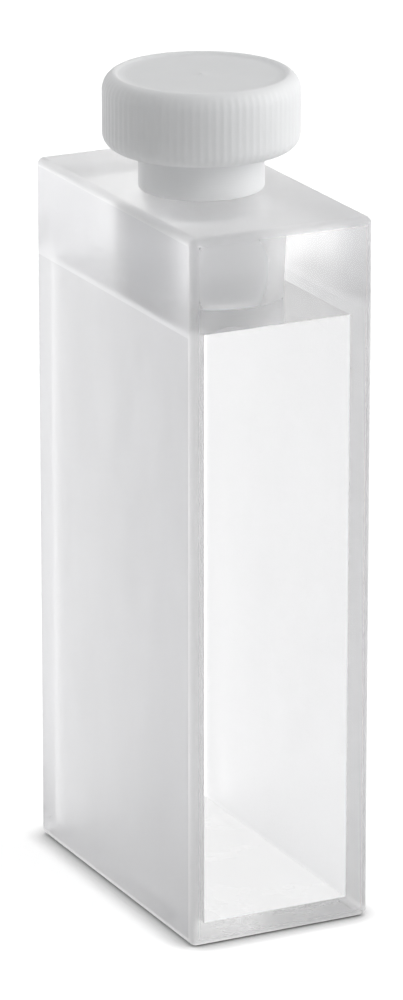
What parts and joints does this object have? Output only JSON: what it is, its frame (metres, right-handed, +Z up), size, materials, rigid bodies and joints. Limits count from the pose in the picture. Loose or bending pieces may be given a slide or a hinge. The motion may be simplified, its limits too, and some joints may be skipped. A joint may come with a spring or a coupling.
{
  "type": "cuvette",
  "caption": "Tall rectangular glass cuvette with clear windows, ground side walls and a bored neck block, closed by a ribbed white push-in stopper.",
  "frame": {"origin": "middle of the cell's underside, on the surface it stands on", "axes": "+Z up along the stopper's axis, +Y along the light path from the front window to the rear one, +X across the width"},
  "size_m": [0.0126, 0.0226, 0.0533],
  "materials": {
    "quartz": "polished",
    "ground_quartz": "ground",
    "stopper_plastic": "satin"
  },
  "bodies": {
    "cell": {"front_window": "quartz", "rear_window": "quartz", "left_side_wall": "ground_quartz", "right_side_wall": "ground_quartz", "base_plate": "quartz", "neck_block": "quartz"},
    "stopper": {"stopper": "stopper_plastic"}
  },
  "joints": [
    {"name": "stopper_lift", "type": "slide", "parent": "cell", "child": "stopper", "axis": [0, 0, 1], "range_m": [0, 0.0065]}
  ]
}
